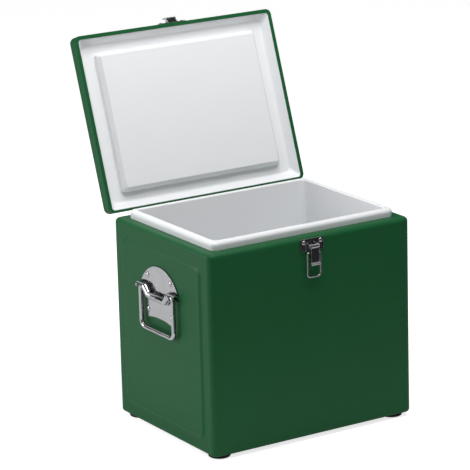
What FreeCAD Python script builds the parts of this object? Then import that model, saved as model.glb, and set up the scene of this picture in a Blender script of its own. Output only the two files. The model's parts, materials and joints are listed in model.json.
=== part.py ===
import FreeCAD, Part
import math
import os

# Retro steel picnic cooler: painted sheet-steel case, foam filled, with a
# moulded white liner, a rear-hinged lid held open by stop hinges, a draw
# latch at the front and a drop-bail carrying handle on each side.
# Millimetres, +Z up, +Y to the rear, origin on the floor under the middle.

# ---- overall case ----
CASE_W = 308.0
CASE_D = 238.0
FOOT_H = 5.0
CASE_H = 268.0
SHEET = 0.8
CORNER_R = 8.0
SHOULDER_R = 6.0
HEEL_R = 5.0
HALF_W = CASE_W / 2
HALF_D = CASE_D / 2
CASE_Z0 = FOOT_H
CASE_Z1 = FOOT_H + CASE_H
BASE_FLANGE = 40.0
PAN_INSET = 9.0

# ---- raised panel pressed into each end ----
PANEL_INSET = 21.0
PANEL_INSET_LOW = 18.0
PANEL_RAMP = 4.5
PANEL_RAISE = 1.8
PANEL_R = 13.0

# ---- white inner liner with raised collar ----
COLLAR_INSET = 14.7
COLLAR_BULGE = 0.5
COLLAR_H = 11.0
COLLAR_R = 8.0
COLLAR_TOP_R = 5.0
MOUTH_INSET = 23.2
MOUTH_R = 6.0
MOUTH_EDGE_R = 2.0
TUB_FLOOR_Z = 32.0
TUB_DRAFT = 9.0
TUB_FLOOR_R = 12.0
TUB_CORNER_R = 16.0
LINER_T = 2.5
LINER_FOOT_INSET = 10.0
LINER_FOOT_T = 2.2
COLLAR_WALL = 2.2
COLLAR_TOP_Z = CASE_Z1 + COLLAR_H
LINER_FOOT_Z = CASE_Z1 - SHEET - LINER_FOOT_T

# ---- rubber feet ----
FOOT_R = 14.5
FOOT_INSET_X = 19.5
FOOT_INSET_Y = 20.0
FOOT_EDGE_R = 1.8
FOOT_SINK_R = 4.6
FOOT_SINK_H = 2.4
SCREW_HEAD_R = 4.0
SCREW_HEAD_H = 1.2
SCREW_R = 1.9
SCREW_TOP_Z = 13.0

# ---- lid ----
LID_GAP = 0.4
LID_H = 19.5
LID_Z0 = CASE_Z1 + LID_GAP
LID_Z1 = CASE_Z1 + LID_H
LID_HEM = 5.0
LID_HEM_REAR = 3.0
RIM_HALF_Y = HALF_D - (LID_HEM + LID_HEM_REAR) / 2
RIM_SHIFT = (LID_HEM - LID_HEM_REAR) / 2
CHANNEL_Z = CASE_Z1 + 12.8
CHANNEL_INSET = 13.0
CHANNEL_RIM_R = 4.0
CHANNEL_IN_R = 8.0
CHANNEL_ROUND_R = 3.5
PLUG_HALF_X = 123.7
PLUG_HALF_Y = 93.4
PLUG_FACE_Z = CASE_Z1 + 1.4
PLUG_BEND_Z = CASE_Z1 + 7.0
PLUG_SLOPE = 4.2
PLUG_R = 5.0
PLUG_FACE_R = 2.5
PLUG_EDGE_R = 1.2
PLUG_DRAFT = 0.8
LID_LINER_T = 2.0
LID_LINER_FOOT = 1.5

# ---- rear stop hinges ----
HINGE_BACK = 4.6
HINGE_DROP = 1.4
AXIS_Y = HALF_D + HINGE_BACK
AXIS_Z = CASE_Z1 - HINGE_DROP
OPEN_DEG = 109.2
HINGE_X = 88.0
HINGE_W = 46.0
LEAF_T = 1.5
BARREL_R = 3.2
HINGE_PIN_R = 1.7
PIN_FIT = 0.05
MID_KNUCKLE_W = 18.0
KNUCKLE_GAP = 0.35
BODY_LEAF_DROP = 34.0
LID_LEAF_RISE = 14.6
LEAF_CLEAR = 3.6
LEAF_CORNER_R = 4.0
HINGE_RIVET_X = 15.0
BODY_RIVET_DROPS = (13.0, 26.0)
LID_RIVET_RISE = 9.8
STOP_W = 11.0
STOP_DROP = 7.0
STOP_REACH = 9.5
STOP_T = 1.8
PIN_HEAD_R = 2.6
PIN_HEAD_T = 1.0

# ---- rivets ----
RIVET_HEAD_R = 3.6
RIVET_HEAD_H = 1.7
RIVET_R = 1.6
RIVET_TAIL = 6.0
SMALL_HEAD_R = 2.9
SMALL_HEAD_H = 1.5

# ---- side handles: u across, v up, w outward from the raised panel ----
PLATE_T = 1.5
PLATE_HALF = 44.4
ARCH_TOP_V = 231.5
ARCH_FOOT_V = 206.0
LOWER_HALF = 33.0
LOWER_V = 158.5
LOWER_ARCH_V = 162.5
LOWER_R = 3.0
ARCH_CORNER_R = 6.0
RIB_HIGH_V = 200.2
RIB_LOW_V = 191.2
RIB_BEND_IN = 20.0
RIB_BEND_OUT = 29.0
RIB_END = 46.0
BAIL_R = 3.0
BAIL_FIT = 0.08
BAIL_AXIS_W = 5.65
RIB_INNER = BAIL_R + BAIL_FIT
RIB_OUTER = RIB_INNER + PLATE_T
BAIL_LEG_U = 40.2
BAIL_TIP_U = 30.0
BAIL_BEND = 3.9
BAIL_CORNER = 9.0
BAIL_BOTTOM_V = 145.3
SLOT_CLEAR = 0.4
SLOT_INNER = 4.4
HANDLE_RIVET_UPPER = (28.3, 216.0)
HANDLE_RIVET_LOWER = (28.6, 170.0)

# ---- front draw latch: x across, w outward from the front ----
LATCH_HALF = 17.4
LATCH_Z0 = 254.5
LATCH_Z1 = 270.5
LATCH_T = 1.2
LATCH_CORNER_R = 2.0
LATCH_RIVET_X = 12.6
LATCH_RIVET_Z = 266.0
EAR_IN = 6.25
EAR_T = 0.9
LEVER_AXIS_Z = 261.0
LEVER_AXIS_W = 5.3
EAR_R = 2.6
LEVER_HALF = 5.9
LEVER_SHEET = 0.9
LEVER_TOP_Z = 263.6
LEVER_CHEEK = 17.0
LEVER_END_Z = 240.0
LEVER_TAIL_Z = 237.0
LEVER_TAIL_W = 10.0
LEVER_TAIL_HALF = 6.6
LEVER_BACK_W = 2.0
LEVER_FACE_W = 7.9
LEVER_PIN_R = 1.2
LEVER_PIN_HEAD_R = 1.9
LEVER_PIN_HEAD_T = 0.45
LOOP_AXIS_Z = 252.5
LOOP_AXIS_W = 4.5
LOOP_R = 1.2
LOOP_LEG_X = 9.9
LOOP_TIP_X = 3.6
LOOP_LENGTH = 32.2
LOOP_BEND = 1.7
LOOP_CORNER = 4.5

# ---- hook plate on the lid front (lid closed) ----
CATCH_HALF = 20.5
CATCH_Z0 = 275.5
CATCH_Z1 = 287.5
CATCH_T = 1.2
CATCH_RIVET_X = 16.6
CATCH_RIVET_Z = 281.4
HOOK_HALF = 8.3
HOOK_NECK_HALF = 5.2
HOOK_SHEET = 1.5
HOOK_SEAT_Z = 283.1
HOOK_OUT = 8.6
HOOK_TIP_Z = 289.0
HOOK_PAD = 1.7
HOOK_WIDE_HALF = 8.0
HOOK_BEAD_R = 1.3
GUSSET_Z = 276.0
GUSSET_OUT = 7.0

EDGE_TOL = 1e-4
REACH = 400.0

V = FreeCAD.Vector


# ---------------------------------------------------------------- helpers
def rounded_outline(half_x, half_y, radius, z, shift=0.0):
    """Closed wire: a rectangle with round corners at height z, moved by shift in Y."""
    cx = half_x - radius
    cy = half_y - radius
    rear = shift + cy
    front = shift - cy
    corners = ((cx, rear, 0.0), (-cx, rear, 90.0), (-cx, front, 180.0), (cx, front, 270.0))
    arcs = []
    for x, y, start in corners:
        pts = []
        for step in (0.0, 45.0, 90.0):
            a = math.radians(start + step)
            pts.append(V(x + radius * math.cos(a), y + radius * math.sin(a), z))
        arcs.append(pts)
    edges = []
    for i, pts in enumerate(arcs):
        edges.append(Part.Arc(*pts).toShape())
        nxt = arcs[(i + 1) % len(arcs)]
        edges.append(Part.makeLine(pts[2], nxt[0]))
    return Part.Wire(edges)


def slab(half_x, half_y, radius, z0, z1, shift=0.0):
    """Upright prism with rounded plan corners, moved by shift in Y."""
    face = Part.Face(rounded_outline(half_x, half_y, radius, z0, shift))
    return face.extrude(V(0, 0, z1 - z0))


def frustum(bottom, top):
    """Solid between two rounded rectangles given as (half_x, half_y, r, z, shift)."""
    wires = [rounded_outline(*bottom), rounded_outline(*top)]
    return Part.makeLoft(wires, True, True)


def flat_edges(shape, z):
    """Edges that lie wholly in the horizontal plane at height z."""
    found = []
    for edge in shape.Edges:
        box = edge.BoundBox
        if abs(box.ZMin - z) < EDGE_TOL and abs(box.ZMax - z) < EDGE_TOL:
            found.append(edge)
    return found


def round_at(shape, z, radius):
    """Round every edge lying at height z."""
    return shape.makeFillet(radius, flat_edges(shape, z))


def cut_all(shape, tools):
    """Take each tool away from the shape in turn."""
    for tool in tools:
        shape = shape.cut(tool)
    return shape


def box_between(low, high):
    """Box from its two opposite corners."""
    size = [b - a for a, b in zip(low, high)]
    return Part.makeBox(size[0], size[1], size[2], V(*low))


def rod_path(points, bends):
    """Polyline with each inner corner turned into an arc of its own radius."""
    edges = []
    last = points[0]
    for before, here, after, bend in zip(points, points[1:], points[2:], bends):
        d_in = (before - here).normalize()
        d_out = (after - here).normalize()
        half = d_in.getAngle(d_out) / 2
        run = bend / math.tan(half)
        start = here + d_in * run
        end = here + d_out * run
        middle_dir = (d_in + d_out).normalize()
        centre = here + middle_dir * (bend / math.sin(half))
        middle = centre - middle_dir * bend
        edges.append(Part.makeLine(last, start))
        edges.append(Part.Arc(start, middle, end).toShape())
        last = end
    edges.append(Part.makeLine(last, points[-1]))
    return Part.Wire(edges)


def rod(path, radius):
    """Round wire swept along a path."""
    edge = path.Edges[0]
    start = edge.valueAt(edge.FirstParameter)
    tangent = edge.tangentAt(edge.FirstParameter)
    ring = Part.Wire(Part.makeCircle(radius, start, tangent))
    return path.makePipeShell([ring], True, False)


def stood_up(shape, across, outward, origin):
    """Place a part drawn with x across, y up, z outward on an upright face."""
    m = FreeCAD.Matrix()
    m.A11, m.A21, m.A31 = across.x, across.y, across.z
    m.A12, m.A22, m.A32 = 0, 0, 1
    m.A13, m.A23, m.A33 = outward.x, outward.y, outward.z
    m.A14, m.A24, m.A34 = origin.x, origin.y, origin.z
    placed = shape.copy()
    placed.Placement = FreeCAD.Placement(m)
    return placed


def on_end(shape):
    """Drawn part set on the right-hand raised panel."""
    return stood_up(shape, V(0, 1, 0), V(1, 0, 0), V(HALF_W + PANEL_RAISE, 0, 0))


def on_front(shape):
    """Drawn part set on the front face."""
    return stood_up(shape, V(1, 0, 0), V(0, -1, 0), V(0, -HALF_D, 0))


def on_back(shape):
    """Drawn part set on the rear face."""
    return stood_up(shape, V(-1, 0, 0), V(0, 1, 0), V(0, HALF_D, 0))


def mirrored_x(shape):
    """Copy on the other side of the middle plane."""
    return shape.mirror(V(0, 0, 0), V(1, 0, 0))


def opened(shape):
    """Swing a lid part from closed to its open stop."""
    turned = shape.copy()
    turned.rotate(V(0, AXIS_Y, AXIS_Z), V(-1, 0, 0), OPEN_DEG)
    return turned


def domed_rivet(x, y, base, head_r, head_h):
    """Rivet drawn with its domed head toward +z and its shank behind."""
    sphere_r = (head_r ** 2 + head_h ** 2) / (2 * head_h)
    ball = Part.makeSphere(sphere_r, V(x, y, base + head_h - sphere_r))
    keep = Part.makeCylinder(head_r, head_h, V(x, y, base))
    shank = Part.makeCylinder(RIVET_R, RIVET_TAIL, V(x, y, base - RIVET_TAIL))
    return ball.common(keep).fuse(shank).removeSplitter()


def rivet_group(spots, base, head_r, head_h):
    """Several rivets as one group of solids."""
    return Part.makeCompound([domed_rivet(x, y, base, head_r, head_h) for x, y in spots])


# ------------------------------------------------------------------- case
def end_panel(shift):
    """Boss of the raised end panel on the right side, moved by shift in X."""
    outer_y = HALF_D - PANEL_INSET
    outer_z = (CASE_H - PANEL_INSET - PANEL_INSET_LOW) / 2
    wide = (outer_y, outer_z, PANEL_R, -SHEET)
    base = (outer_y, outer_z, PANEL_R, 0.0)
    crown = (outer_y - PANEL_RAMP, outer_z - PANEL_RAMP, PANEL_R - PANEL_RAMP, PANEL_RAISE)
    boss = slab(outer_y, outer_z, PANEL_R, wide[3], base[3]).fuse(frustum(base, crown))
    middle = V(HALF_W + shift, 0, CASE_Z0 + PANEL_INSET_LOW + outer_z)
    return stood_up(boss, V(0, 1, 0), V(1, 0, 0), middle)


def case_solid(offset):
    """The case outline shrunk by offset, end panels included."""
    body = slab(HALF_W - offset, HALF_D - offset, CORNER_R - offset, CASE_Z0 + offset, CASE_Z1 - offset)
    body = round_at(body, CASE_Z1 - offset, SHOULDER_R - offset)
    body = round_at(body, CASE_Z0 + offset, HEEL_R - offset)
    panel = end_panel(-offset)
    return body.fuse([panel, mirrored_x(panel)]).removeSplitter()


def case_shell():
    """Sheet-steel wrap with a turned-in shoulder and a turned-in base flange."""
    half_x = HALF_W - COLLAR_INSET
    half_y = HALF_D - COLLAR_INSET
    mouth = slab(half_x, half_y, COLLAR_R, CASE_Z1 - CORNER_R, CASE_Z1 + CORNER_R)
    floor = slab(HALF_W - BASE_FLANGE, HALF_D - BASE_FLANGE, PANEL_R, CASE_Z0 - SHEET, CASE_Z0 + CORNER_R)
    return cut_all(case_solid(0.0), [case_solid(SHEET), mouth, floor])


def base_pan():
    """Flat pressed pan closing the bottom from inside."""
    z0 = CASE_Z0 + SHEET
    return slab(HALF_W - PAN_INSET, HALF_D - PAN_INSET, CORNER_R, z0, z0 + SHEET)


def tub_space():
    """The open space inside the liner."""
    low_x = HALF_W - MOUTH_INSET - TUB_DRAFT
    low_y = HALF_D - MOUTH_INSET - TUB_DRAFT
    low = (low_x, low_y, TUB_CORNER_R, TUB_FLOOR_Z)
    high = (HALF_W - MOUTH_INSET, HALF_D - MOUTH_INSET, MOUTH_R, COLLAR_TOP_Z)
    return round_at(frustum(low, high), TUB_FLOOR_Z, TUB_FLOOR_R)


def tub_outside():
    """Outer surface of the tub below the shoulder."""
    low_x = HALF_W - MOUTH_INSET - TUB_DRAFT + LINER_T
    low_y = HALF_D - MOUTH_INSET - TUB_DRAFT + LINER_T
    top = CASE_Z1 - SHEET
    low = (low_x, low_y, TUB_CORNER_R + LINER_T, TUB_FLOOR_Z - LINER_T)
    high = (HALF_W - MOUTH_INSET + LINER_T, HALF_D - MOUTH_INSET + LINER_T, MOUTH_R + LINER_T, top)
    return round_at(frustum(low, high), TUB_FLOOR_Z - LINER_T, TUB_FLOOR_R)


def collar_blank():
    """Solid rim standing up through the shoulder, rounded over on top."""
    half_x = HALF_W - COLLAR_INSET
    half_y = HALF_D - COLLAR_INSET
    low = (half_x, half_y, COLLAR_R, CASE_Z1)
    high = (half_x + COLLAR_BULGE, half_y + COLLAR_BULGE, COLLAR_R, COLLAR_TOP_Z)
    upper = round_at(frustum(low, high), COLLAR_TOP_Z, COLLAR_TOP_R)
    root = slab(half_x, half_y, COLLAR_R, LINER_FOOT_Z, CASE_Z1)
    return root.fuse(upper)


def collar_hollow():
    """Foam space inside the collar."""
    outer_x = HALF_W - COLLAR_INSET - COLLAR_WALL
    outer_y = HALF_D - COLLAR_INSET - COLLAR_WALL
    inner_x = HALF_W - MOUTH_INSET + LINER_T
    inner_y = HALF_D - MOUTH_INSET + LINER_T
    z0 = LINER_FOOT_Z - LINER_T
    z1 = COLLAR_TOP_Z - COLLAR_WALL - COLLAR_WALL / 2
    ring = slab(outer_x, outer_y, COLLAR_R - COLLAR_WALL, z0, z1)
    core = slab(inner_x, inner_y, MOUTH_R + LINER_T, z0, z1)
    return ring.cut(core)


def case_liner():
    """White moulded tub with its raised collar and hidden foot flange."""
    half_x = HALF_W - LINER_FOOT_INSET
    half_y = HALF_D - LINER_FOOT_INSET
    foot = slab(half_x, half_y, COLLAR_R, LINER_FOOT_Z, CASE_Z1 - SHEET)
    blank = collar_blank().fuse([foot, tub_outside()])
    liner = cut_all(blank, [tub_space(), collar_hollow()])
    inner = []
    for edge in flat_edges(liner, COLLAR_TOP_Z):
        box = edge.BoundBox
        reach = max(abs(box.XMin), abs(box.XMax)) / (HALF_W - MOUTH_INSET)
        depth = max(abs(box.YMin), abs(box.YMax)) / (HALF_D - MOUTH_INSET)
        if max(reach, depth) < 1.0 + EDGE_TOL:
            inner.append(edge)
    return liner.makeFillet(MOUTH_EDGE_R, inner)


def case_foam(liner, fasteners):
    """Foam filling everything between shell and liner."""
    blank = case_solid(SHEET).fuse(collar_hollow())
    return cut_all(blank, [liner, tub_space(), base_pan()] + fasteners)


# ------------------------------------------------------------------- feet
def foot_spots():
    """Centres of the four feet."""
    x = HALF_W - FOOT_INSET_X
    y = HALF_D - FOOT_INSET_Y
    return (("front_left", -x, -y), ("front_right", x, -y), ("rear_left", -x, y), ("rear_right", x, y))


def rubber_foot(x, y):
    """Low round foot with a sunk seat for its screw."""
    disc = Part.makeCylinder(FOOT_R, FOOT_H, V(x, y, 0))
    disc = round_at(disc, 0.0, FOOT_EDGE_R)
    sink = Part.makeCylinder(FOOT_SINK_R, FOOT_SINK_H, V(x, y, 0))
    hole = Part.makeCylinder(SCREW_R, FOOT_H, V(x, y, 0))
    return cut_all(disc, [sink, hole])


def foot_screw(x, y):
    """Pan-head screw holding one foot."""
    head = Part.makeCylinder(SCREW_HEAD_R, SCREW_HEAD_H, V(x, y, FOOT_SINK_H - SCREW_HEAD_H))
    head = round_at(head, FOOT_SINK_H - SCREW_HEAD_H, SCREW_HEAD_H / 2)
    shank = Part.makeCylinder(SCREW_R, SCREW_TOP_Z - FOOT_SINK_H, V(x, y, FOOT_SINK_H))
    return head.fuse(shank)


# ---------------------------------------------------------------- handles
def tunnel(points, radius):
    """Round-topped ridge standing on the panel along a line of points."""
    parts = []
    for a, b in zip(points, points[1:]):
        run = b - a
        parts.append(Part.makeCylinder(radius, run.Length, a + V(0, 0, BAIL_AXIS_W), run))
        side = V(-run.y, run.x, 0).normalize() * radius
        strip = Part.Face(Part.makePolygon([a + side, b + side, b - side, a - side, a + side]))
        parts.append(strip.extrude(V(0, 0, BAIL_AXIS_W)))
    for joint in points[1:-1]:
        parts.append(Part.makeSphere(radius, joint + V(0, 0, BAIL_AXIS_W)))
        parts.append(Part.makeCylinder(radius, BAIL_AXIS_W, joint))
    return parts[0].fuse(parts[1:])


def rib_line(end):
    """Cranked centre line of the rib, out to the given end."""
    right = [V(RIB_BEND_IN, RIB_LOW_V, 0), V(RIB_BEND_OUT, RIB_HIGH_V, 0), V(end, RIB_HIGH_V, 0)]
    left = [V(-p.x, p.y, 0) for p in reversed(right)]
    return left + right


def plate_blank():
    """Arched upper plate with a narrower tongue below the rib."""
    shelf = RIB_HIGH_V - RIB_OUTER
    a = V(-PLATE_HALF, shelf, 0)
    b = V(-PLATE_HALF, ARCH_FOOT_V, 0)
    c = V(PLATE_HALF, ARCH_FOOT_V, 0)
    d = V(PLATE_HALF, shelf, 0)
    e = V(LOWER_HALF, shelf, 0)
    f = V(LOWER_HALF, LOWER_V, 0)
    g = V(-LOWER_HALF, LOWER_V, 0)
    h = V(-LOWER_HALF, shelf, 0)
    edges = [Part.makeLine(a, b), Part.Arc(b, V(0, ARCH_TOP_V, 0), c).toShape()]
    edges += [Part.makeLine(c, d), Part.makeLine(d, e), Part.makeLine(e, f)]
    edges += [Part.Arc(f, V(0, LOWER_ARCH_V, 0), g).toShape(), Part.makeLine(g, h), Part.makeLine(h, a)]
    plate = Part.Face(Part.Wire(edges)).extrude(V(0, 0, PLATE_T))
    plate = soften(plate, ((PLATE_HALF, ARCH_FOOT_V), (-PLATE_HALF, ARCH_FOOT_V)), ARCH_CORNER_R)
    return soften(plate, ((LOWER_HALF, LOWER_V), (-LOWER_HALF, LOWER_V)), LOWER_R)


def soften(shape, spots, radius):
    """Round the edges along z that stand at the given spots."""
    found = []
    for edge in shape.Edges:
        box = edge.BoundBox
        for x, y in spots:
            near = abs(box.XMin - x) + abs(box.XMax - x) + abs(box.YMin - y) + abs(box.YMax - y)
            if near < EDGE_TOL:
                found.append(edge)
    return shape.makeFillet(radius, found)


def leg_slots():
    """Slots in the rib that let the bail's legs hang and swing out."""
    half = BAIL_R + SLOT_CLEAR
    top = RIB_HIGH_V + half
    slots = []
    inner = BAIL_LEG_U - SLOT_INNER
    outer = BAIL_LEG_U + half
    for u0, u1 in ((inner, outer), (-outer, -inner)):
        slots.append(box_between((u0, RIB_LOW_V, PLATE_T), (u1, top, REACH)))
    return slots


def handle_plate():
    """Pressed plate: arched top, cranked rib across, tongue below."""
    blank = plate_blank().fuse(tunnel(rib_line(RIB_END), RIB_OUTER))
    inner = tunnel(rib_line(RIB_END + PLATE_T), RIB_INNER)
    return cut_all(blank, [inner] + leg_slots() + [handle_rivets()]).removeSplitter()


def handle_rivets():
    """The four rivets of one handle."""
    spots = []
    for u, v in (HANDLE_RIVET_UPPER, HANDLE_RIVET_LOWER):
        spots += [(-u, v), (u, v)]
    return rivet_group(spots, PLATE_T, RIVET_HEAD_R, RIVET_HEAD_H)


def handle_bail():
    """Round-wire drop bail with its ends turned into the rib."""
    w = BAIL_AXIS_W
    pts = [V(BAIL_TIP_U, RIB_HIGH_V, w), V(BAIL_LEG_U, RIB_HIGH_V, w), V(BAIL_LEG_U, BAIL_BOTTOM_V, w)]
    pts += [V(-p.x, p.y, p.z) for p in reversed(pts)]
    return rod(rod_path(pts, (BAIL_BEND, BAIL_CORNER, BAIL_CORNER, BAIL_BEND)), BAIL_R)


# ------------------------------------------------------------------ latch
def latch_ear(side):
    """One upstanding ear of the latch plate, bored for the lever pin."""
    x0 = EAR_IN if side > 0 else -EAR_IN - EAR_T
    web = box_between((x0, LEVER_AXIS_Z - EAR_R, 0), (x0 + EAR_T, LEVER_AXIS_Z + EAR_R, LEVER_AXIS_W))
    nose = Part.makeCylinder(EAR_R, EAR_T, V(x0, LEVER_AXIS_Z, LEVER_AXIS_W), V(1, 0, 0))
    return web.fuse(nose)


def cross_bore(z, w, radius, half):
    """Cylinder across the latch at height z, w out from the face."""
    return Part.makeCylinder(radius, 2 * half, V(-half, z, w), V(1, 0, 0))


def flat_plate(half, low, high, thick, radius):
    """Plate with rounded corners lying on a face."""
    middle = (low + high) / 2
    plate = slab(half, (high - low) / 2, radius, 0, thick)
    plate.translate(V(0, middle, 0))
    return plate


def latch_rivets():
    """Two rivets of the latch plate."""
    spots = ((-LATCH_RIVET_X, LATCH_RIVET_Z), (LATCH_RIVET_X, LATCH_RIVET_Z))
    return rivet_group(spots, LATCH_T, SMALL_HEAD_R, SMALL_HEAD_H)


def latch_plate():
    """Riveted plate with two ears."""
    plate = flat_plate(LATCH_HALF, LATCH_Z0, LATCH_Z1, LATCH_T, LATCH_CORNER_R)
    plate = plate.fuse([latch_ear(-1), latch_ear(1)])
    bore = cross_bore(LEVER_AXIS_Z, LEVER_AXIS_W, LEVER_PIN_R + PIN_FIT, LATCH_HALF)
    return cut_all(plate, [bore, latch_rivets()])


def latch_lever():
    """Channel-section lever with a flared finger tail."""
    h = LEVER_HALF
    t = LEVER_SHEET
    cheek_r = LEVER_AXIS_W - LEVER_BACK_W
    cheek_low = LEVER_AXIS_Z - LEVER_CHEEK
    upper = box_between((-h, LEVER_AXIS_Z, LEVER_AXIS_W), (h, LEVER_TOP_Z, LEVER_FACE_W))
    lower = box_between((-h, cheek_low, LEVER_BACK_W), (h, LEVER_AXIS_Z, LEVER_FACE_W))
    face = box_between((-h, LEVER_END_Z, LEVER_FACE_W - t), (h, cheek_low, LEVER_FACE_W))
    round_end = cross_bore(LEVER_AXIS_Z, LEVER_AXIS_W, cheek_r, h)
    body = upper.fuse([lower, face, round_end, lever_tail()])
    hollow = box_between((t - h, cheek_low - t, -t), (h - t, REACH, LEVER_FACE_W - t))
    pivot = cross_bore(LEVER_AXIS_Z, LEVER_AXIS_W, LEVER_PIN_R + PIN_FIT, LATCH_HALF)
    loop_hole = cross_bore(LOOP_AXIS_Z, LOOP_AXIS_W, LOOP_R + PIN_FIT, LATCH_HALF)
    return cut_all(body, [hollow, pivot, loop_hole]).removeSplitter()


def lever_tail():
    """Finger tail bent outward and widened."""
    t = LEVER_SHEET
    out = LEVER_FACE_W
    pts = [V(0, LEVER_END_Z, out - t), V(0, LEVER_END_Z, out), V(0, LEVER_TAIL_Z, LEVER_TAIL_W)]
    pts += [V(0, LEVER_TAIL_Z - t, LEVER_TAIL_W - t), pts[0]]
    face = Part.Face(Part.makePolygon(pts))
    face.translate(V(-LEVER_TAIL_HALF, 0, 0))
    return face.extrude(V(2 * LEVER_TAIL_HALF, 0, 0))


def lever_pin():
    """Riveted pin through ears and lever."""
    half = EAR_IN + EAR_T
    shaft = cross_bore(LEVER_AXIS_Z, LEVER_AXIS_W, LEVER_PIN_R, half)
    heads = []
    for x in (half, -half - LEVER_PIN_HEAD_T):
        spot = V(x, LEVER_AXIS_Z, LEVER_AXIS_W)
        heads.append(Part.makeCylinder(LEVER_PIN_HEAD_R, LEVER_PIN_HEAD_T, spot, V(1, 0, 0)))
    return shaft.fuse(heads)


def latch_loop():
    """Wire loop hanging from the lever, ends turned in through its cheeks."""
    w = LOOP_AXIS_W
    low = LOOP_AXIS_Z - LOOP_LENGTH
    pts = [V(LOOP_TIP_X, LOOP_AXIS_Z, w), V(LOOP_LEG_X, LOOP_AXIS_Z, w), V(LOOP_LEG_X, low, w)]
    pts += [V(-p.x, p.y, p.z) for p in reversed(pts)]
    return rod(rod_path(pts, (LOOP_BEND, LOOP_CORNER, LOOP_CORNER, LOOP_BEND)), LOOP_R)


def catch_rivets():
    """Two rivets of the hook plate."""
    spots = ((-CATCH_RIVET_X, CATCH_RIVET_Z), (CATCH_RIVET_X, CATCH_RIVET_Z))
    return rivet_group(spots, CATCH_T, SMALL_HEAD_R, SMALL_HEAD_H)


def catch_plate():
    """Plate with an upturned hook for the wire loop."""
    plate = flat_plate(CATCH_HALF, CATCH_Z0, CATCH_Z1, CATCH_T, LATCH_CORNER_R)
    wide = HOOK_WIDE_HALF
    step_z = HOOK_SEAT_Z - HOOK_PAD
    low_z = step_z - HOOK_SHEET
    bead_w = HOOK_OUT - HOOK_BEAD_R
    bead_z = low_z + HOOK_BEAD_R
    pad = box_between((-HOOK_NECK_HALF, step_z, 0), (HOOK_NECK_HALF, HOOK_SEAT_Z, bead_w))
    seat = box_between((-wide, low_z, 0), (wide, step_z, bead_w))
    tip = box_between((-HOOK_HALF, bead_z, HOOK_OUT - HOOK_SHEET), (HOOK_HALF, HOOK_TIP_Z, HOOK_OUT))
    bead = cross_bore(bead_z, bead_w, HOOK_BEAD_R, HOOK_HALF)
    parts = [pad, seat, tip, bead]
    web = Part.makePolygon([V(0, GUSSET_Z, 0), V(0, low_z, 0), V(0, low_z, GUSSET_OUT), V(0, GUSSET_Z, 0)])
    for x in (-wide, wide - HOOK_SHEET):
        gusset = Part.Face(web).extrude(V(HOOK_SHEET, 0, 0))
        gusset.translate(V(x, 0, 0))
        parts.append(gusset)
    return cut_all(plate.fuse(parts).removeSplitter(), [catch_rivets()])


# -------------------------------------------------------------------- lid
def lid_blank(offset):
    """The lid outline shrunk by offset."""
    z1 = LID_Z1 - offset
    body = slab(HALF_W - offset, HALF_D - offset, CORNER_R - offset, LID_Z0 + offset, z1)
    return round_at(body, z1, SHOULDER_R - offset)


def lid_shell():
    """Painted sheet lid with a hemmed rim turned inward."""
    low = LID_Z0 - SHEET
    rim = slab(HALF_W - LID_HEM, RIM_HALF_Y, CHANNEL_RIM_R, low, LID_Z0 + CORNER_R, RIM_SHIFT)
    return cut_all(lid_blank(0.0), [lid_blank(SHEET), rim])


def channel_space():
    """Open space of the lid liner without the plug."""
    low = (HALF_W - LID_HEM, RIM_HALF_Y, CHANNEL_RIM_R, LID_Z0, RIM_SHIFT)
    high = (HALF_W - CHANNEL_INSET, HALF_D - CHANNEL_INSET, CHANNEL_IN_R, CHANNEL_Z)
    return round_at(frustum(low, high), CHANNEL_Z, CHANNEL_ROUND_R)


def channel_skin():
    """Hidden side of the lid liner."""
    z0 = LID_Z0 + SHEET
    low = (HALF_W - LID_LINER_FOOT, HALF_D - LID_LINER_FOOT, CORNER_R - LID_LINER_FOOT, z0)
    inset = CHANNEL_INSET - LID_LINER_T
    high = (HALF_W - inset, HALF_D - inset, CHANNEL_IN_R, CHANNEL_Z + LID_LINER_T)
    return frustum(low, high)


def plug(shrink):
    """Raised central panel of the lid liner: upright wall, then a sloped shoulder."""
    half_x = PLUG_HALF_X - shrink
    half_y = PLUG_HALF_Y - shrink
    radius = PLUG_R - shrink
    face_z = PLUG_FACE_Z + shrink
    face = (half_x - PLUG_SLOPE, half_y - PLUG_SLOPE, PLUG_FACE_R, face_z)
    bend = (half_x, half_y, radius, PLUG_BEND_Z + shrink / 2)
    root = (half_x + PLUG_DRAFT, half_y + PLUG_DRAFT, radius, CHANNEL_Z + LID_LINER_T)
    return round_at(frustum(face, bend), face_z, PLUG_EDGE_R).fuse(frustum(bend, root))


def lid_liner():
    """White moulded liner: ramp, channel for the collar, raised plug."""
    hollow = channel_space().cut(plug(0.0))
    return cut_all(channel_skin(), [hollow, plug(LID_LINER_T)])


def lid_foam(liner, fasteners):
    """Foam between lid shell and lid liner."""
    space = channel_space().cut(plug(LID_LINER_T))
    return cut_all(lid_blank(SHEET), [liner, space] + fasteners)


# ----------------------------------------------------------------- hinges
def knuckle(x0, x1):
    """One bored barrel segment of a hinge."""
    spot = V(x0, AXIS_Z, HINGE_BACK)
    return Part.makeCylinder(BARREL_R, x1 - x0, spot, V(1, 0, 0))


def pin_bore():
    """Bore of the hinge barrel."""
    return cross_bore(AXIS_Z, HINGE_BACK, HINGE_PIN_R + PIN_FIT, HINGE_W)


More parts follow.
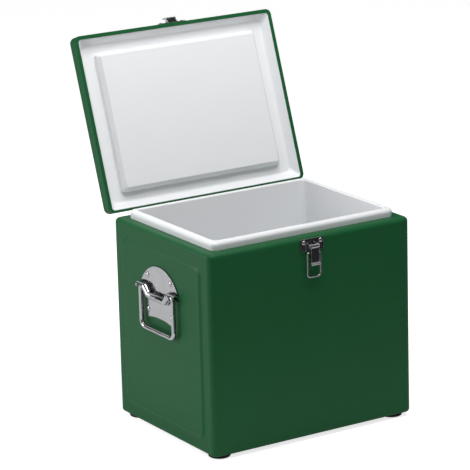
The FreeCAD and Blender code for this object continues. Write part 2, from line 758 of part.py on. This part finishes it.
def stop_tab():
    """Bent tab that holds the lid leaf at the open position."""
    lean = math.radians(OPEN_DEG)
    c = math.cos(lean)
    s = math.sin(lean)
    face_y = LEAF_T - HINGE_BACK
    base_w = HINGE_BACK + STOP_REACH
    low = AXIS_Z - STOP_DROP
    tops = []
    for out in (STOP_REACH, STOP_REACH - STOP_T):
        rise = (out - face_y * c) / s
        tops.append(AXIS_Z - face_y * s + rise * c - KNUCKLE_GAP / s)
    pts = [V(0, low, 0), V(0, low, base_w), V(0, tops[0], base_w), V(0, tops[1], base_w - STOP_T)]
    pts += [V(0, low + STOP_T, base_w - STOP_T), V(0, low + STOP_T, 0), pts[0]]
    face = Part.Face(Part.makePolygon(pts))
    face.translate(V(-STOP_W / 2, 0, 0))
    return face.extrude(V(STOP_W, 0, 0))


def body_leaf_rivets():
    """Four rivets of one body leaf."""
    spots = []
    for drop in BODY_RIVET_DROPS:
        spots += [(-HINGE_RIVET_X, AXIS_Z - drop), (HINGE_RIVET_X, AXIS_Z - drop)]
    return rivet_group(spots, LEAF_T, RIVET_HEAD_R, RIVET_HEAD_H)


def lid_leaf_rivets():
    """Two rivets of one lid leaf."""
    z = AXIS_Z + LID_RIVET_RISE
    return rivet_group(((-HINGE_RIVET_X, z), (HINGE_RIVET_X, z)), LEAF_T, RIVET_HEAD_R, RIVET_HEAD_H)


def body_leaf():
    """Leaf on the case with two outer knuckles and the stop tab."""
    half = HINGE_W / 2
    inner = MID_KNUCKLE_W / 2 + KNUCKLE_GAP
    top = AXIS_Z - LEAF_CLEAR
    plate = flat_plate(half, AXIS_Z - BODY_LEAF_DROP, top, LEAF_T, LEAF_CORNER_R)
    parts = [stop_tab()]
    for x0, x1 in ((inner, half), (-half, -inner)):
        parts.append(box_between((x0, top - LEAF_CORNER_R, 0), (x1, AXIS_Z - BARREL_R + LEAF_T, LEAF_T)))
        parts.append(box_between((x0, AXIS_Z - BARREL_R, 0), (x1, AXIS_Z - BARREL_R + LEAF_T, HINGE_BACK)))
        parts.append(knuckle(x0, x1))
    return cut_all(plate.fuse(parts), [pin_bore(), body_leaf_rivets()]).removeSplitter()


def lid_leaf():
    """Leaf on the lid with the middle knuckle."""
    half = HINGE_W / 2
    mid = MID_KNUCKLE_W / 2
    low = AXIS_Z + LEAF_CLEAR
    plate = flat_plate(half, low, AXIS_Z + LID_LEAF_RISE, LEAF_T, LEAF_CORNER_R / 2)
    under = AXIS_Z + BARREL_R - LEAF_T
    neck = box_between((-mid, under, 0), (mid, low + LEAF_CORNER_R, LEAF_T))
    web = box_between((-mid, under, 0), (mid, AXIS_Z + BARREL_R, HINGE_BACK))
    leaf = plate.fuse([neck, web, knuckle(-mid, mid)])
    return cut_all(leaf, [pin_bore(), lid_leaf_rivets()]).removeSplitter()


def hinge_pin():
    """Headed hinge pin."""
    half = HINGE_W / 2
    shaft = cross_bore(AXIS_Z, HINGE_BACK, HINGE_PIN_R, half)
    heads = []
    for x in (half, -half - PIN_HEAD_T):
        heads.append(Part.makeCylinder(PIN_HEAD_R, PIN_HEAD_T, V(x, AXIS_Z, HINGE_BACK), V(1, 0, 0)))
    return shaft.fuse(heads)


def at_hinge(shape, side):
    """Hinge part placed on the rear at one of the two hinge stations."""
    placed = on_back(shape)
    placed.translate(V(side * HINGE_X, 0, 0))
    return placed


# --------------------------------------------------------------- assembly
def handle_nodes():
    """Plate, rivets and bail for both ends."""
    nodes = {}
    makers = (("plate", handle_plate), ("rivets", handle_rivets), ("bail", handle_bail))
    for name, maker in makers:
        right = on_end(maker())
        nodes["handle_" + name + "_right"] = right
        nodes["handle_" + name + "_left"] = mirrored_x(right)
    return nodes


def hinge_nodes():
    """Both hinges; lid-side pieces still in the closed position."""
    fixed = {}
    swinging = {}
    for tag, side in (("left", -1), ("right", 1)):
        fixed["hinge_leaf_body_" + tag] = at_hinge(body_leaf(), side)
        fixed["hinge_pin_" + tag] = at_hinge(hinge_pin(), side)
        swinging["hinge_leaf_lid_" + tag] = at_hinge(lid_leaf(), side)
    both = (-1, 1)
    fixed["hinge_rivets_body"] = Part.makeCompound([at_hinge(body_leaf_rivets(), s) for s in both])
    swinging["hinge_rivets_lid"] = Part.makeCompound([at_hinge(lid_leaf_rivets(), s) for s in both])
    return fixed, swinging


def latch_nodes():
    """Latch on the case front."""
    makers = {"latch_plate": latch_plate, "latch_rivets": latch_rivets, "latch_lever": latch_lever}
    makers.update({"latch_lever_pin": lever_pin, "latch_loop": latch_loop})
    return {name: on_front(maker()) for name, maker in makers.items()}


def foot_nodes():
    """Feet and the group of their screws."""
    nodes = {"foot_" + name: rubber_foot(x, y) for name, x, y in foot_spots()}
    nodes["foot_screws"] = Part.makeCompound([foot_screw(x, y) for name, x, y in foot_spots()])
    return nodes


def lid_nodes(hinge_lid):
    """Everything that swings with the lid, in the closed position."""
    nodes = dict(hinge_lid)
    nodes["catch_plate"] = on_front(catch_plate())
    nodes["catch_rivets"] = on_front(catch_rivets())
    fasteners = [nodes["catch_rivets"], nodes["hinge_rivets_lid"]]
    liner = lid_liner()
    nodes["lid_shell"] = cut_all(lid_shell(), fasteners)
    nodes["lid_liner"] = liner
    nodes["lid_foam"] = lid_foam(liner, fasteners)
    return nodes


def build():
    """All nodes in the resting pose: lid open against its stops."""
    hinge_fixed, hinge_lid = hinge_nodes()
    nodes = {}
    nodes.update(handle_nodes())
    nodes.update(hinge_fixed)
    nodes.update(latch_nodes())
    nodes.update(foot_nodes())
    keys = ("handle_rivets_right", "handle_rivets_left", "hinge_rivets_body", "latch_rivets", "foot_screws")
    fasteners = [nodes[key] for key in keys]
    liner = case_liner()
    nodes["case_shell"] = cut_all(case_shell(), fasteners)
    nodes["base_pan"] = cut_all(base_pan(), fasteners)
    nodes["case_liner"] = liner
    nodes["case_foam"] = case_foam(liner, fasteners)
    for name, shape in lid_nodes(hinge_lid).items():
        nodes[name] = opened(shape)
    return nodes


os.makedirs("parts", exist_ok=True)
for node_name, node_shape in build().items():
    node_shape.exportStep(os.path.join("parts", node_name + ".step"))
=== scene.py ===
import json
import math

import bpy
from mathutils import Matrix, Vector

# Retro steel picnic cooler: looks, floor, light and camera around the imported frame.
# Metres, watts and degrees throughout. Colours are linear.

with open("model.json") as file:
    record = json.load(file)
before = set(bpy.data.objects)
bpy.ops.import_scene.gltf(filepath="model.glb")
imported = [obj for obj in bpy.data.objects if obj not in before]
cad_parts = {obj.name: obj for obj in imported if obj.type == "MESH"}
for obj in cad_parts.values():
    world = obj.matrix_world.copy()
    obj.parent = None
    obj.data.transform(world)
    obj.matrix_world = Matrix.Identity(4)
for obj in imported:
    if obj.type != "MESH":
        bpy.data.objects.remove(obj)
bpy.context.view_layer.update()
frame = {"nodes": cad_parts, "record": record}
NODES = frame["nodes"]
MM = 0.001

# ---- camera ----
CAMERA_AZIMUTH = -32.03
CAMERA_ELEVATION = 15.41
CAMERA_ROLL = -1.53
CAMERA_SPOT = (-1.9005, -2.9733, 1.2217)
CAMERA_REACH = 50.0
SENSOR = 36.0
LENS = 214.15

# ---- stage: spans are x from, x to, y from, y to; sky stops are height, level ----
FLOOR_SPAN = (-7.0, 7.0, -7.0, 7.0)
FLOOR_Z = 0.0
FLOOR_GLOW = 0.76
CARD_SPAN = (-0.62, 2.2, -2.4, -0.42)
CARD_Z = 0.002
BACKDROP = 1.0
SKY_LIGHT = ((0.0, 0.30), (0.16, 0.30), (0.42, 0.16), (0.75, 0.16), (1.0, 0.40))
SKY_MIRROR = (
    (0.0, 0.02), (0.46, 0.02), (0.52, 0.80), (0.62, 0.80), (0.68, 0.02), (0.90, 0.02), (1.0, 0.30),
)
SKY_BLUE = 1.01
SKY_NEW_STOP = 0.5
SKY_BRIGHT_SIDE = (-0.98, -0.20, 0.0)
SKY_SIDE_FROM = -0.7
SKY_SIDE_TO = 0.8
SKY_DIM = 0.12
SKY_BRIGHT = 1.9
AIM = (0.0, 0.0, 0.25)

# ---- colours ----
PAINT_DEEP = (0.0100, 0.0930, 0.0305)
PAINT_LIGHT = (0.0114, 0.1010, 0.0335)
# Painted highlight: a lighter green laid on the enamel's rounded edges.
PAINT_EDGE_HIGHLIGHT = (0.0180, 0.1250, 0.0520)
# Painted shade: near-black green for the enamel's seams and creases.
SEAM_PAINTED_SHADE = (0.006, 0.014, 0.009)
LINER_DEEP = (0.800, 0.815, 0.830)
LINER_LIGHT = (0.835, 0.845, 0.855)
BRIGHT_TONE = (0.58, 0.58, 0.60)
LATCH_TONE = (0.60, 0.60, 0.62)
ZINC_TONE = (0.62, 0.62, 0.61)
# Painted shade: near-black for the corners and folds of the plated steel.
CORNER_PAINTED_SHADE = (0.030, 0.029, 0.028)
RUBBER_BLACK = (0.012, 0.012, 0.013)
RUBBER_DUSTY = (0.035, 0.034, 0.033)
FOAM_DEEP = (0.55, 0.43, 0.20)
FOAM_LIGHT = (0.75, 0.63, 0.36)
FLOOR_TONE = (0.90, 0.90, 0.905)
FLOOR_SHADE = 0.995
CARD_DEEP = (0.010, 0.010, 0.011)
CARD_LIGHT = (0.018, 0.018, 0.019)
GLOW_WHITE = (1.0, 1.0, 1.0)

# ---- wear, painted edge highlight and sampling shared by the materials ----
CLOUD_FROM = 0.3
CLOUD_TO = 0.7
MASK_SAMPLES = 6
EDGE_FLAT = 0.995
EDGE_SHARP = 0.90
METAL_SHADE = 0.80
# Gain for the painted highlight that brightens the metal's edges.
METAL_EDGE_HIGHLIGHT = 1.5
METAL_MOST = 0.95

# ---- parts whose pressed edges are rounded ----
PRESSED = ("latch_plate", "latch_lever", "catch_plate", "handle_plate_left", "handle_plate_right")
PRESSED += ("hinge_leaf_body_left", "hinge_leaf_body_right", "hinge_leaf_lid_left", "hinge_leaf_lid_right")
ROUND_WIDTH = 0.35 * MM
ROUND_SEGMENTS = 2
ROUND_ABOVE = 38.0
WELD_GAP = 0.01 * MM


# ------------------------------------------------------------ node helpers
class Recipe:
    """A material under construction, with short calls for its usual nodes."""

    def __init__(self, name):
        self.material = bpy.data.materials.new(name)
        self.material.use_nodes = True
        self.tree = self.material.node_tree
        self.surface = self.tree.nodes["Principled BSDF"]

    def node(self, kind, **settings):
        made = self.tree.nodes.new(kind)
        for key, value in settings.items():
            setattr(made, key, value)
        return made

    def link(self, source, target):
        self.tree.links.new(source, target)

    def place(self, stretch):
        """Coordinates in the object's own metres, stretched per axis."""
        where = self.node("ShaderNodeTexCoord")
        mapping = self.node("ShaderNodeMapping")
        mapping.inputs["Scale"].default_value = stretch
        self.link(where.outputs["Object"], mapping.inputs["Vector"])
        return mapping.outputs["Vector"]

    def noise(self, scale, detail, rough=0.5, stretch=(1, 1, 1)):
        made = self.node("ShaderNodeTexNoise")
        made.inputs["Scale"].default_value = scale
        made.inputs["Detail"].default_value = detail
        made.inputs["Roughness"].default_value = rough
        self.link(self.place(stretch), made.inputs["Vector"])
        return made.outputs["Fac"]

    def spread(self, source, low, high, to_low=0.0, to_high=1.0):
        """Map a value range to another, clamped."""
        made = self.node("ShaderNodeMapRange")
        made.inputs["From Min"].default_value = low
        made.inputs["From Max"].default_value = high
        made.inputs["To Min"].default_value = to_low
        made.inputs["To Max"].default_value = to_high
        self.link(source, made.inputs["Value"])
        return made.outputs["Result"]

    def cloudy(self, clouds, low, high):
        """A value that drifts from low to high with a soft noise."""
        return self.spread(clouds, CLOUD_FROM, CLOUD_TO, low, high)

    def math(self, operation, first, second):
        made = self.node("ShaderNodeMath", operation=operation)
        for socket, value in zip(made.inputs, (first, second)):
            if isinstance(value, float):
                socket.default_value = value
            else:
                self.link(value, socket)
        return made.outputs["Value"]

    def times(self, source, share):
        return self.math("MULTIPLY", source, share)

    def plus(self, first, second):
        return self.math("ADD", first, second)

    def blend(self, factor, first, second):
        """Mix two colours."""
        made = self.node("ShaderNodeMix", data_type="RGBA")
        self.link(factor, made.inputs["Factor"])
        for socket, value in zip(made.inputs[6:8], (first, second)):
            if isinstance(value, tuple):
                socket.default_value = (*value, 1.0)
            else:
                self.link(value, socket)
        return made.outputs[2]

    def edge_mask(self, radius):
        """1 on outer edges and 0 on open faces."""
        bevel = self.node("ShaderNodeBevel", samples=MASK_SAMPLES)
        bevel.inputs["Radius"].default_value = radius
        flat = self.node("ShaderNodeNewGeometry")
        dot = self.node("ShaderNodeVectorMath", operation="DOT_PRODUCT")
        self.link(bevel.outputs["Normal"], dot.inputs[0])
        self.link(flat.outputs["Normal"], dot.inputs[1])
        return self.spread(dot.outputs["Value"], EDGE_FLAT, EDGE_SHARP)

    def painted_shade_mask(self, reach, tight, open_level):
        """Ambient-occlusion mask for painted shade: 1 in tight corners and 0 on open faces."""
        shade = self.node("ShaderNodeAmbientOcclusion", samples=MASK_SAMPLES)
        shade.inputs["Distance"].default_value = reach
        return self.spread(shade.outputs["AO"], tight, open_level, 1.0, 0.0)

    def relief(self, heights):
        """Stack bump maps: (height, distance) pairs."""
        normal = None
        for height, distance in heights:
            bump = self.node("ShaderNodeBump")
            bump.inputs["Distance"].default_value = distance
            self.link(height, bump.inputs["Height"])
            if normal is not None:
                self.link(normal, bump.inputs["Normal"])
            normal = bump.outputs["Normal"]
        self.link(normal, self.surface.inputs["Normal"])

    def set(self, **values):
        """Fill the surface's sockets, named with underscores for spaces."""
        for key, value in values.items():
            socket = self.surface.inputs[key.replace("_", " ")]
            if isinstance(value, bpy.types.NodeSocket):
                self.link(value, socket)
            else:
                socket.default_value = (*value, 1.0) if isinstance(value, tuple) else value


# ------------------------------------------------------------- materials
def paint():
    """Semi-gloss green enamel on sheet steel: a painted highlight on the edges, painted shade in the
    seams.
    """
    m = Recipe("green_enamel")
    clouds = m.noise(scale=7.0, detail=3.0)
    peel = m.noise(scale=420.0, detail=2.0, rough=0.55)
    dents = m.noise(scale=16.0, detail=1.0)
    rubs = m.noise(scale=60.0, detail=6.0, rough=0.7, stretch=(1.0, 1.0, 0.35))
    rubs = m.spread(rubs, low=0.56, high=0.74)
    edge = m.edge_mask(1.6 * MM)
    colour = m.blend(clouds, PAINT_DEEP, PAINT_LIGHT)
    # Painted highlight: the edge mask blends a lighter green onto the rounded edges.
    colour = m.blend(m.times(edge, share=0.35), colour, PAINT_EDGE_HIGHLIGHT)
    # Painted shade: ambient occlusion darkens the seams and creases.
    seam_painted_shade = m.painted_shade_mask(2.2 * MM, tight=0.50, open_level=0.86)
    colour = m.blend(m.times(seam_painted_shade, share=0.75), colour, SEAM_PAINTED_SHADE)
    rough = m.plus(m.cloudy(clouds, low=0.36, high=0.42), m.times(rubs, share=0.08))
    m.set(Base_Color=colour, Roughness=rough, Specular_IOR_Level=0.14)
    m.relief([(dents, 0.6 * MM), (peel, 0.02 * MM)])
    return m.material


def liner_plastic():
    """White moulded liner plastic, satin with a fine mould grain."""
    m = Recipe("white_liner_plastic")
    clouds = m.noise(scale=9.0, detail=3.0)
    grain = m.noise(scale=900.0, detail=2.0)
    sink = m.noise(scale=22.0, detail=1.0)
    scuffs = m.noise(scale=90.0, detail=8.0, rough=0.75, stretch=(1.0, 0.3, 1.0))
    scuffs = m.spread(scuffs, low=0.60, high=0.78)
    colour = m.blend(clouds, LINER_DEEP, LINER_LIGHT)
    rough = m.plus(m.cloudy(clouds, low=0.33, high=0.40), m.times(scuffs, share=0.15))
    m.set(Base_Color=colour, Roughness=rough, Specular_IOR_Level=0.4, IOR=1.49)
    m.relief([(sink, 0.4 * MM), (grain, 0.012 * MM)])
    return m.material


def plated_steel(name, tone, rough_low, rough_high, wear_and_highlight_width):
    """Bright plated pressed steel: drawn lines, soft waves, rougher worn edges with a painted highlight,
    painted shade in the corners.
    """
    m = Recipe(name)
    clouds = m.noise(scale=60.0, detail=3.0)
    lines = m.noise(scale=1500.0, detail=4.0, rough=0.7, stretch=(1.0, 1.0, 0.03))
    waves = m.noise(scale=130.0, detail=1.0)
    edge = m.edge_mask(wear_and_highlight_width)
    dark = tuple(METAL_SHADE * c for c in tone)
    # Painted highlight: a brighter tone on the edges; the same mask also roughens them as wear.
    shiny = tuple(min(METAL_MOST, METAL_EDGE_HIGHLIGHT * c) for c in tone)
    colour = m.blend(clouds, dark, tone)
    colour = m.blend(m.times(edge, share=0.7), colour, shiny)
    # Painted shade: ambient occlusion darkens the corners almost to black.
    corners = m.painted_shade_mask(2.6 * MM, tight=0.60, open_level=0.93)
    colour = m.blend(m.times(corners, share=0.92), colour, CORNER_PAINTED_SHADE)
    rough = m.plus(m.cloudy(clouds, rough_low, rough_high), m.times(lines, share=0.05))
    rough = m.plus(rough, m.times(edge, share=0.28))
    m.set(Base_Color=colour, Metallic=1.0, Roughness=rough)
    m.relief([(waves, 0.08 * MM), (lines, 0.004 * MM)])
    return m.material


def rubber():
    """Black moulded rubber, matt and slightly dusty."""
    m = Recipe("black_rubber")
    grain = m.noise(scale=700.0, detail=3.0)
    dust = m.spread(m.noise(scale=50.0, detail=5.0, rough=0.6), low=0.45, high=0.75)
    colour = m.blend(dust, RUBBER_BLACK, RUBBER_DUSTY)
    rough = m.cloudy(grain, low=0.62, high=0.8)
    m.set(Base_Color=colour, Roughness=rough, Specular_IOR_Level=0.35)
    m.relief([(grain, 0.05 * MM)])
    return m.material


def foam():
    """Rigid insulation foam, hidden between shell and liner."""
    m = Recipe("insulation_foam")
    cells = m.noise(scale=500.0, detail=4.0, rough=0.6)
    m.set(Base_Color=m.blend(cells, FOAM_DEEP, FOAM_LIGHT), Roughness=0.9)
    m.relief([(cells, 0.3 * MM)])
    return m.material


def floor_surface():
    """Plain pale studio floor, lifted towards white for the camera only."""
    m = Recipe("studio_floor")
    tint = m.noise(scale=3.0, detail=2.0)
    colour = m.blend(tint, FLOOR_TONE, tuple(c * FLOOR_SHADE for c in FLOOR_TONE))
    m.set(Base_Color=colour, Roughness=0.9, Specular_IOR_Level=0.0)
    path = m.node("ShaderNodeLightPath")
    glow = m.times(path.outputs["Is Camera Ray"], FLOOR_GLOW)
    m.set(Emission_Color=GLOW_WHITE, Emission_Strength=glow)
    return m.material


def card_cloth():
    """Near-black matt cloth."""
    m = Recipe("dark_card_cloth")
    nap = m.noise(scale=300.0, detail=3.0)
    m.set(Base_Color=m.blend(nap, CARD_DEEP, CARD_LIGHT), Roughness=0.95)
    return m.material


MATERIALS = {
    "green_paint": paint(),
    "white_liner": liner_plastic(),
    "bright_steel": plated_steel(
        "bright_plated_steel", BRIGHT_TONE, rough_low=0.09, rough_high=0.17, wear_and_highlight_width=0.5 * MM
    ),
    "latch_steel": plated_steel(
        "latch_plated_steel", LATCH_TONE, rough_low=0.10, rough_high=0.18, wear_and_highlight_width=1.0 * MM
    ),
    "zinc_steel": plated_steel(
        "zinc_plated_steel", ZINC_TONE, rough_low=0.24, rough_high=0.36, wear_and_highlight_width=0.5 * MM
    ),
    "rubber": rubber(),
    "foam": foam(),
}


def dress_nodes():
    """Give every CAD node the material of its slot."""
    for part in frame["record"]["subparts"]:
        mesh = NODES[part["node"]].data
        mesh.materials.clear()
        mesh.materials.append(MATERIALS[part["material_slot"]])


def round_edges(names, width):
    """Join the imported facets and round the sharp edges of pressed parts."""
    for name in names:
        piece = NODES[name]
        weld = piece.modifiers.new("join", "WELD")
        weld.merge_threshold = WELD_GAP
        bevel = piece.modifiers.new("round", "BEVEL")
        bevel.width = width
        bevel.segments = ROUND_SEGMENTS
        bevel.limit_method = "ANGLE"
        bevel.angle_limit = math.radians(ROUND_ABOVE)
        bevel.use_clamp_overlap = True
        shade = piece.modifiers.new("shade", "WEIGHTED_NORMAL")
        shade.keep_sharp = True


# ----------------------------------------------------------------- stage
def flat_sheet(name, span, height, material):
    """Level rectangle of one face."""
    x0, x1, y0, y1 = span
    corners = [(x0, y0, height), (x1, y0, height), (x1, y1, height), (x0, y1, height)]
    mesh = bpy.data.meshes.new(name)
    mesh.from_pydata(corners, [], [(0, 1, 2, 3)])
    mesh.materials.append(material)
    return bpy.data.objects.new(name, mesh)


def make_floor():
    """Large pale floor under the feet."""
    floor = flat_sheet("floor", FLOOR_SPAN, FLOOR_Z, floor_surface())
    bpy.context.scene.collection.objects.link(floor)


def make_dark_card():
    """Dark card in front right, seen only in reflections, for contrast on bright metal."""
    card = flat_sheet("dark_card", CARD_SPAN, CARD_Z, card_cloth())
    card.visible_camera = False
    card.visible_diffuse = False
    card.visible_shadow = False
    bpy.context.scene.collection.objects.link(card)


def sky_ramp(tree, height, stops):
    """Grey ramp over height above the horizon: (height, level) stops."""
    ramp = tree.nodes.new("ShaderNodeValToRGB")
    elements = ramp.color_ramp.elements
    while len(elements) < len(stops):
        elements.new(SKY_NEW_STOP)
    for element, (place, level) in zip(elements, stops):
        element.position = place
        element.color = (level, level, level * SKY_BLUE, 1.0)
    tree.links.new(height, ramp.inputs["Fac"])
    return ramp.outputs["Color"]


def side_level(tree, direction):
    """Brightness that rises towards the bright side of the sky."""
    side = tree.nodes.new("ShaderNodeVectorMath")
    side.operation = "DOT_PRODUCT"
    side.inputs[1].default_value = SKY_BRIGHT_SIDE
    tree.links.new(direction, side.inputs[0])
    level = tree.nodes.new("ShaderNodeMapRange")
    level.interpolation_type = "SMOOTHSTEP"
    level.inputs["From Min"].default_value = SKY_SIDE_FROM
    level.inputs["From Max"].default_value = SKY_SIDE_TO
    level.inputs["To Min"].default_value = SKY_DIM
    level.inputs["To Max"].default_value = SKY_BRIGHT
    tree.links.new(side.outputs["Value"], level.inputs["Value"])
    return level.outputs["Result"]


def mix_shaders(tree, factor, first, second):
    """The first shader where the factor is 0, the second where it is 1."""
    mix = tree.nodes.new("ShaderNodeMixShader")
    tree.links.new(factor, mix.inputs["Fac"])
    tree.links.new(first, mix.inputs[1])
    tree.links.new(second, mix.inputs[2])
    return mix.outputs["Shader"]


def make_world():
    """White backdrop; soft light sky, bright on the left; banded sky for the reflections."""
    world = bpy.data.worlds.new("studio")
    bpy.context.scene.world = world
    world.use_nodes = True
    tree = world.node_tree
    tree.nodes.clear()
    out = tree.nodes.new("ShaderNodeOutputWorld")
    where = tree.nodes.new("ShaderNodeTexCoord").outputs["Generated"]
    split = tree.nodes.new("ShaderNodeSeparateXYZ")
    tree.links.new(where, split.inputs["Vector"])
    height = split.outputs["Z"]
    lit = tree.nodes.new("ShaderNodeBackground")
    tree.links.new(side_level(tree, where), lit.inputs["Strength"])
    tree.links.new(sky_ramp(tree, height, SKY_LIGHT), lit.inputs["Color"])
    shiny = tree.nodes.new("ShaderNodeBackground")
    tree.links.new(sky_ramp(tree, height, SKY_MIRROR), shiny.inputs["Color"])
    seen = tree.nodes.new("ShaderNodeBackground")
    seen.inputs["Color"].default_value = (BACKDROP, BACKDROP, BACKDROP, 1.0)
    path = tree.nodes.new("ShaderNodeLightPath")
    glossy = path.outputs["Is Glossy Ray"]
    camera = path.outputs["Is Camera Ray"]
    unseen = mix_shaders(tree, glossy, lit.outputs["Background"], shiny.outputs["Background"])
    sky = mix_shaders(tree, camera, unseen, seen.outputs["Background"])
    tree.links.new(sky, out.inputs["Surface"])


def softbox(name, direction, distance, size, power):
    """Rectangular softbox facing the object."""
    light = bpy.data.lights.new(name, "AREA")
    light.shape = "RECTANGLE"
    light.size, light.size_y = size
    light.energy = power
    lamp = bpy.data.objects.new(name, light)
    away = Vector(direction).normalized()
    lamp.location = Vector(AIM) + away * distance
    lamp.rotation_mode = "QUATERNION"
    lamp.rotation_quaternion = (-away).to_track_quat("-Z", "Y")
    bpy.context.scene.collection.objects.link(lamp)


def make_lights():
    """Broad overhead box, and a low one behind the left end."""
    softbox("overhead", direction=(0.0, -0.22, 0.97), distance=1.25, size=(1.0, 0.7), power=15.5)
    softbox("key", direction=(-0.82, 0.53, 0.20), distance=1.9, size=(1.0, 0.8), power=13.6)


def make_camera():
    """Camera off the left front corner, a little above the case."""
    data = bpy.data.cameras.new("camera")
    data.sensor_width = SENSOR
    data.lens = LENS
    data.clip_end = CAMERA_REACH
    camera = bpy.data.objects.new("camera", data)
    azimuth = math.radians(CAMERA_AZIMUTH)
    elevation = math.radians(CAMERA_ELEVATION)
    level = math.cos(elevation)
    back = Vector((math.sin(azimuth) * level, -math.cos(azimuth) * level, math.sin(elevation)))
    right = Vector((0, 0, 1)).cross(back).normalized()
    up = back.cross(right)
    turn = Matrix((right, up, back)).transposed()
    roll = Matrix.Rotation(math.radians(CAMERA_ROLL), 3, "Z")
    camera.rotation_mode = "QUATERNION"
    camera.rotation_quaternion = (turn @ roll).to_quaternion()
    camera.location = CAMERA_SPOT
    bpy.context.scene.collection.objects.link(camera)
    bpy.context.scene.camera = camera


dress_nodes()
round_edges(PRESSED, ROUND_WIDTH)
make_floor()
make_world()
make_lights()
make_dark_card()
make_camera()
bpy.context.scene.view_settings.view_transform = "Standard"
